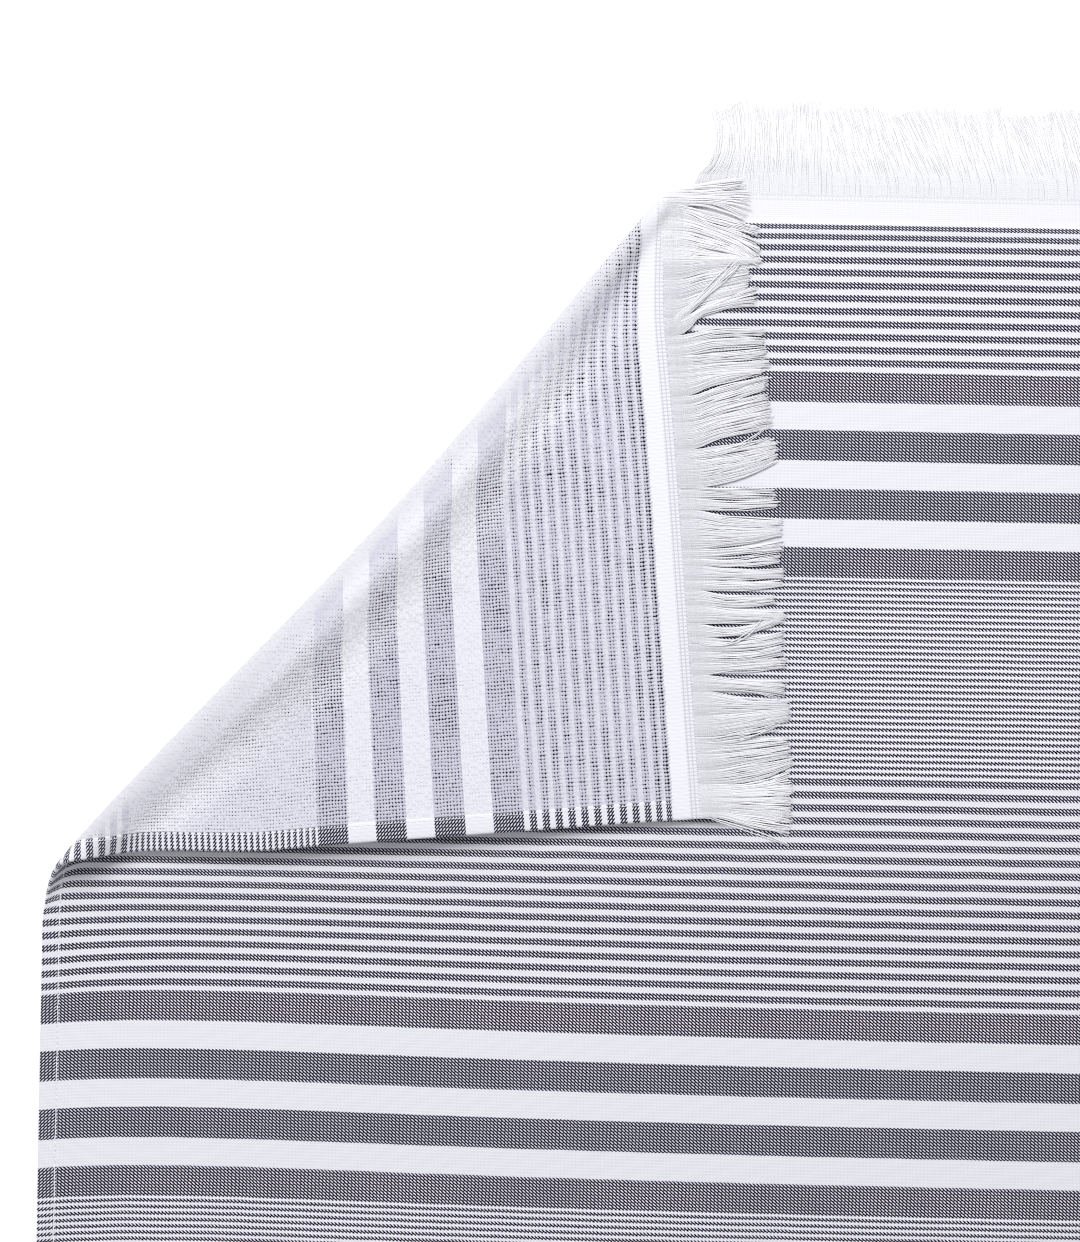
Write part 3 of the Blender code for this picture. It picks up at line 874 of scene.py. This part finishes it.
def new_material(name, roughness=0.92, sheen=0.3, gloss=0.2):
    material = bpy.data.materials.new(name)
    material.use_nodes = True
    shader = material.node_tree.nodes["Principled BSDF"]
    shader.inputs["Roughness"].default_value = roughness
    shader.inputs["Specular IOR Level"].default_value = gloss
    shader.inputs["Sheen Weight"].default_value = sheen
    shader.inputs["Sheen Roughness"].default_value = 0.6
    return material


def flat_place(material):
    """The two coordinates of the UV map "flat"."""
    tree = material.node_tree
    source = tree.nodes.new("ShaderNodeUVMap")
    source.uv_map = "flat"
    split = tree.nodes.new("ShaderNodeSeparateXYZ")
    tree.links.new(source.outputs["UV"], split.inputs[0])
    return Signal(tree, split.outputs["X"]), Signal(tree, split.outputs["Y"])


def noise(u, v, scale_u, scale_v, detail=2.0):
    """Noise of about 0 to 1 over two coordinates, with its own scale in each."""
    tree = u.tree
    join = tree.nodes.new("ShaderNodeCombineXYZ")
    (u * scale_u).into(join.inputs["X"])
    (v * scale_v).into(join.inputs["Y"])
    node = tree.nodes.new("ShaderNodeTexNoise")
    node.inputs["Scale"].default_value = 1.0
    node.inputs["Detail"].default_value = detail
    tree.links.new(join.outputs[0], node.inputs["Vector"])
    return Signal(tree, node.outputs["Fac"])


def wander(u, place, scale_u, scale_v, reach):
    return (noise(u, place, scale_u, scale_v) - 0.5) * reach


def mix_colour(factor, first, second):
    """Colour between two colours, each a tuple or another mix's output."""
    tree = factor.tree
    node = tree.nodes.new("ShaderNodeMix")
    node.data_type = "RGBA"
    factor.into(node.inputs["Factor"])
    for place, value in ((6, first), (7, second)):
        if isinstance(value, tuple):
            node.inputs[place].default_value = (*value, 1.0)
        else:
            tree.links.new(value, node.inputs[place])
    return node.outputs[2]


def dress(material, colour, height, distance):
    """Gives a material its colour and its bump."""
    tree = material.node_tree
    shader = tree.nodes["Principled BSDF"]
    tree.links.new(colour, shader.inputs["Base Color"])
    node = tree.nodes.new("ShaderNodeBump")
    node.inputs["Distance"].default_value = distance
    height.into(node.inputs["Height"])
    tree.links.new(node.outputs["Normal"], shader.inputs["Normal"])
    return material


# Colours, of the flat weave first and then of the folded corner's pile.
NAVY = (0.0085, 0.0080, 0.0160)
FLOAT_WHITE = (0.700, 0.692, 0.800)
WHITE = (0.700, 0.698, 0.745)
HEADER_WHITE = (0.725, 0.722, 0.758)
HEADER_BACK_WHITE = (0.740, 0.738, 0.778)
SHADED_WHITE = (0.60, 0.60, 0.65)
HEADER_SHADED = (0.52, 0.52, 0.57)
PILE_WHITE = (0.718, 0.716, 0.787)
PILE_SHADE = (0.690, 0.688, 0.757)
# Painted shade: white loops painted bluer and darker over navy ground, with its bounced tint.
PILE_TINT_AND_SHADE = (0.550, 0.541, 0.637)
PILE_TINT_AND_SHADE_PATCH = (0.490, 0.480, 0.577)
# Painted shade on the bend's crest.
PILE_CREST_SHADE = (0.580, 0.577, 0.620)
# Painted light past the bend, on white and on tinted loops.
PILE_PAINTED_LIGHT = (0.930, 0.927, 0.960)
PILE_TINT_PAINTED_LIGHT = (0.810, 0.800, 0.880)
# Painted light: the ground between the loops, painted lighter than the white weave for light the cotton
# scatters into the holes.
GROUND_WHITE_PAINTED_LIGHT = (0.90, 0.90, 0.94)
GROUND_FINE = (0.13, 0.128, 0.165)
# Painted shade on the header's back over the bend's crest.
HEADER_CREST_SHADE = (0.60, 0.60, 0.64)
# In the narrow and fine stripes all the loops get this painted shade and tint, from a little before the fine
# ones.
FINE_TINT_AND_SHADE = 0.45
NARROW_TINT_AND_SHADE = 0.40
FINE_LEAD = 0.0010
# Depths of the bump.
WEAVE_BUMP = 0.00008
UNDER_BUMP = 0.0003
PILE_BUMP = 0.00005
YARN_BUMP = 0.00003


def from_nearer_end(place):
    return lesser(place, WOVEN_LENGTH - place)


def in_repeat(place):
    return (place - REPEAT_START) % REPEAT


def stripe_depth(place):
    """How deep in a navy stripe a place of the layout lies, and 0 in the white."""

    def depth_in(band, pitch, width, count):
        within_pitch = band % pitch
        depth = lesser(within_pitch, width - within_pitch)
        return depth * (band > 0.0) * (band < pitch * (count - 1) + width)

    depth = greater(depth_in(from_nearer_end(place) - NARROW_START, *NARROW_STRIPES), 0.0)
    within = (place > REPEAT_START) * (place < REPEAT_END)
    local = in_repeat(place)
    for start, *stripes in STRIPES:
        depth = greater(depth, depth_in(local - start, *stripes) * within)
    return depth


def navy_stripes(place):
    """1 in the navy stripes and 0 in the white."""
    return (stripe_depth(place) > 0.0) * 1.0


def fine_band(place):
    """1 in the band of the fine stripes."""
    local = in_repeat(place)
    return (local > FINE_START - FINE_LEAD) * (local < MEDIUM_START) * (place > REPEAT_START)


def front_material(name, header_grid, header_white, grid_depth, crest=None):
    """Flat weave: white warp floats on a slanting lattice in the navy stripes, a faint grid in the white.

    crest is the colour of the painted shade on the header over the bend's crest, seen from the back.
    """
    material = new_material(name, sheen=0.02, gloss=0.08)
    u, place = flat_place(material)
    depth = stripe_depth(place + wander(u, place, 60.0, 30.0, 0.0006))
    navy = depth > 0.0
    rim = depth.fade(0.0, FLOAT_RIM)
    hem = greater(u < HEM, u > WIDTH - HEM)
    slant = hem * -2.0 + 1.0
    turn_u = (u + wander(u, place, 90.0, 45.0, 0.0012)).turns(CELL_U)
    turn_v = place.turns(CELL_V)
    cells = turn_u.math("COSINE") + turn_v.math("COSINE")
    strokes = (turn_u - turn_v * slant).math("COSINE")
    floats = (cells + strokes * FLOAT_SLANT + rim * RIM_WEIGHT).step(*FLOAT_LEVELS)
    fuzz = noise(u, place, 900.0, 900.0, 3.0)
    streak = noise(u, place, 40.0, 900.0)
    navy_part = mix_colour(floats * (fuzz * 0.2 + 0.90), NAVY, FLOAT_WHITE)
    grid = greater(u.wave(CELL_U), place.wave(CELL_V))
    among_wide = in_repeat(place) < FINE_START
    marks = strokes.fade(-1.0, 0.2) * (among_wide * -0.5 + 0.5)
    white_part = mix_colour(grid.step(0.55, 1.0) * 0.28 + marks + streak * 0.12, WHITE, SHADED_WHITE)
    body = mix_colour(navy, white_part, navy_part)
    from_end = from_nearer_end(place)
    grid_limit = float(pattern_place(WIDTH / 2.0, header_grid))
    mesh_lines = greater(u.wave(HEADER_PITCH_U), place.wave(HEADER_PITCH_V))
    open_weave = (from_end < grid_limit) * mesh_lines.step(0.2, 0.9) * grid_depth
    header = mix_colour(open_weave + streak * 0.06, header_white, HEADER_SHADED)
    if crest is not None:
        # Painted shade on the header over the bend's crest.
        header = mix_colour(past_bend(u, place).fade(*CREST_SHADE_FADE), header, crest)
    colour = mix_colour(from_end < NARROW_START - HEADER_SEAM, body, header)
    threads = u.wave(CELL_U / 3.0) * 0.35 + place.wave(CELL_V / 3.0) * 0.35
    return dress(material, colour, cells * 0.25 + threads * 0.6 + fuzz * 0.6, WEAVE_BUMP)


def ground_material():
    """Ground weave under the terry loops."""
    material = new_material("towel_ground", sheen=0.02, gloss=0.08)
    u, place = flat_place(material)
    navy = navy_stripes(place)
    rib = place.wave(CELL_V / 3.0) * 0.5 + u.wave(CELL_U / 3.0) * 0.5
    # Painted light in the white ground between the loops.
    white = mix_colour(rib.step(0.0, 1.0) * 0.3, GROUND_WHITE_PAINTED_LIGHT, WHITE)
    colour = mix_colour(fine_band(place), mix_colour(navy, white, NAVY), GROUND_FINE)
    return dress(material, colour, rib, WEAVE_BUMP)


def under_material():
    """The towel's back where it lies on the floor: terry as pattern and bump."""
    material = new_material("towel_terry_back")
    u, place = flat_place(material)
    loops = (u + wander(u, place, 300.0, 300.0, 0.0006)).wave(CELL_U)
    loops = loops + (place + wander(u, place, 260.0, 320.0, 0.0006)).wave(CELL_V)
    gaps = loops.fade(-1.3, -0.1)
    navy = navy_stripes(place)
    colour = mix_colour(gaps * navy, mix_colour(gaps, WHITE, SHADED_WHITE), NAVY)
    return dress(material, colour, loops, UNDER_BUMP)


def pile_material():
    """Loop yarn: white, painted bluer and darker in the navy stripes as painted shade with the ground's
    bounced tint.
    """
    material = new_material("terry_yarn")
    u, place = flat_place(material)
    patches = noise(u, place, 130.0, 130.0, 3.0)
    fuzz = noise(u, place, 2200.0, 2200.0)
    shading = patches.step(0.35, 0.75) * 0.5 + fuzz * 0.3
    white = mix_colour(shading, PILE_WHITE, PILE_SHADE)
    tinted_and_shaded = mix_colour(shading, PILE_TINT_AND_SHADE, PILE_TINT_AND_SHADE_PATCH)
    past = past_bend(u, place)
    further = (place > REPEAT_START) * (place < REPEAT_START + FINE_START) * BEND_LIGHT_FURTHER
    # Painted light: whiter loops past the bend.
    bend = past.step(*BEND_LIGHT_IN) * (past - further).fade(*BEND_LIGHT_OUT)
    bend = bend * (place.step(*NARROW_OPEN) * (1.0 - NARROW_BEND_LIGHT) + NARROW_BEND_LIGHT)
    bend = bend * ((place > REPEAT_START) * -BEND_LIGHT_FAINTER + 1.0)
    white, tinted_and_shaded = mix_colour(bend, white, PILE_PAINTED_LIGHT), mix_colour(bend, tinted_and_shaded, PILE_TINT_PAINTED_LIGHT)
    fine = fine_band(place)
    # Painted shade and tint from the navy ground: in the narrow and fine stripes, and on the navy ones.
    tint_and_shade = greater(fine * FINE_TINT_AND_SHADE, (place < REPEAT_START) * NARROW_TINT_AND_SHADE)
    tint_and_shade = greater(navy_stripes(place) * (1.0 - fine), tint_and_shade)
    # Painted shade over the bend's crest.
    colour = mix_colour(past.fade(*CREST_SHADE_FADE), mix_colour(tint_and_shade, white, tinted_and_shaded), PILE_CREST_SHADE)
    twist = (u.turns(0.0011) + place.turns(0.0006)).math("COSINE")
    return dress(material, colour, twist + fuzz * 0.8, PILE_BUMP)


def yarn_material(name, light, shade, root=0.0, twist=0.0009, ply=0.0015):
    """Soft cotton yarn, darker here and there, with painted shade towards the root, and a twist as bump."""
    material = new_material(name)
    along, around = flat_place(material)
    patches = noise(along, around, 9.0, 20.0, 3.0)
    fuzz = noise(along, around, 2600.0, 2600.0)
    # Painted shade towards the root, where the yarn leaves the cloth's edge.
    root_shade = along.fade(0.004, 0.030) * root
    colour = mix_colour(patches.step(0.35, 0.75) * 0.35 + fuzz * 0.15 + root_shade, light, shade)
    spiral = (along.turns(twist) + around.turns(ply)).math("COSINE")
    return dress(material, colour, spiral + fuzz * 0.5, YARN_BUMP)


# Camera, floor and light.


def build_camera():
    data = bpy.data.cameras.new("camera")
    data.sensor_width = SENSOR
    data.lens = SENSOR * (CAMERA_HEIGHT - THICKNESS) / (IMAGE_HEIGHT * METRES_PER_PIXEL)
    data.clip_start = 0.05
    camera = link(bpy.data.objects.new("camera", data))
    camera.location = (*VIEW_CENTRE, CAMERA_HEIGHT)
    camera.rotation_euler = (0.0, 0.0, VIEW_TURN)
    bpy.context.scene.camera = camera


def build_floor():
    mesh = bpy.data.meshes.new("floor")
    reach, drop = 12.0, 0.0002
    corners = [(reach * x, reach * y, 0.0) for x, y in ((-1, -1), (1, -1), (1, 1), (-1, 1))]
    mesh.from_pydata(corners, [], [(0, 1, 2, 3)])
    material = new_material("studio_floor", 0.9, 0.0, 0.0)
    shader = material.node_tree.nodes["Principled BSDF"]
    shader.inputs["Base Color"].default_value = (0.98, 0.98, 0.98, 1.0)
    mesh.materials.append(material)
    floor = link(bpy.data.objects.new("floor", mesh))
    floor.location.z = -drop


def build_light():
    world = bpy.data.worlds.new("studio")
    world.use_nodes = True
    background = world.node_tree.nodes["Background"]
    background.inputs["Color"].default_value = (0.97, 0.98, 1.0, 1.0)
    background.inputs["Strength"].default_value = 0.58
    bpy.context.scene.world = world
    data = bpy.data.lights.new("softbox", "AREA")
    data.shape = "RECTANGLE"
    data.size, data.size_y = 1.5, 1.1
    data.energy = 53.5
    lamp = link(bpy.data.objects.new("softbox", data))
    place = np.array([-0.60, 2.05, 1.75])
    aim = np.array([*VIEW_CENTRE, 0.0]) - place
    lamp.location = place
    tilt, heading = math.atan2(math.hypot(aim[0], aim[1]), -aim[2]), math.atan2(aim[1], aim[0])
    lamp.rotation_euler = (tilt, 0.0, heading - math.pi / 2.0)
    bpy.context.scene.view_settings.view_transform = "Standard"


def keep_weave():
    """The weave is nearly as fine as the pixels, and the usual denoiser and pixel filter smooth it away."""
    bpy.context.scene.cycles.denoising_prefilter = "NONE"
    bpy.context.scene.cycles.filter_width = 1.25


def main():
    build_camera()
    build_floor()
    build_light()
    keep_weave()
    front = front_material("towel_front", HEADER_GRID, HEADER_WHITE, 0.40)
    header_back = front_material("towel_header_back", HEADER_GRID_BACK, HEADER_BACK_WHITE, 0.85, HEADER_CREST_SHADE)
    cloth = build_cloth(front, ground_material(), under_material(), header_back)
    yarn = yarn_material("fringe_cotton", (0.84, 0.838, 0.862), (0.72, 0.72, 0.755), 0.7)
    # The flap's fringe: the fringe cotton in a darker copy, painted shade, and in its own colour in some
    # rows.
    flap_yarns = [
        yarn_material("flap_fringe_cotton_shaded", (0.78, 0.778, 0.813), (0.64, 0.64, 0.69), 0.15),
        yarn_material("flap_fringe_cotton_unshaded", (0.84, 0.838, 0.868), (0.72, 0.72, 0.76), 0.15),
    ]
    thread = yarn_material("hem_thread", (0.86, 0.86, 0.90), (0.77, 0.77, 0.82), twist=0.0005, ply=0.0008)
    loops = build_loops(pile_material())
    foot = fold_foot()

    def top_lean(place):
        from_foot, halfway, end = np.array(TOP_LEAN).T
        return np.interp(place - foot, from_foot, halfway), np.interp(place - foot, from_foot, end)

    def bottom_lean(place):
        drift = 0.0035 * uneven(place, 0.0 * place, 0.12, 77)
        return 0.4 * drift, drift

    gap = 0.001
    right = WIDTH - gap
    flap_fringe = build_flap_fringe(flap_yarns)
    top_fringe = build_floor_fringe("fringe_top_yarns", foot + gap, right, 0.0, top_lean, TOP_PITCH, 60, yarn)
    bottom_fringe = build_floor_fringe(
        "fringe_bottom_yarns", gap, right, WOVEN_LENGTH, bottom_lean, BOTTOM_PITCH, 70, yarn
    )
    line, first, last = HEM - STITCH_INSET, 0.002, WOVEN_LENGTH - 0.002
    stitches = [
        build_stitches("hem_stitches_left", line, 1, first, last, thread),
        build_stitches("hem_stitches_right", WIDTH - line, 1, first, last, thread),
        build_stitches("hem_stitches_flap", line, -1, 0.016, 0.320, thread),
    ]
    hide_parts("towel")
    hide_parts("fringe_flap")
    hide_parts("fringe_top")
    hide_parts("fringe_bottom")
    fringes = [flap_fringe, top_fringe, bottom_fringe]
    for piece in [cloth, *loops, *stitches]:
        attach(piece, "root")
    for piece in fringes:
        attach(piece, "root")


main()
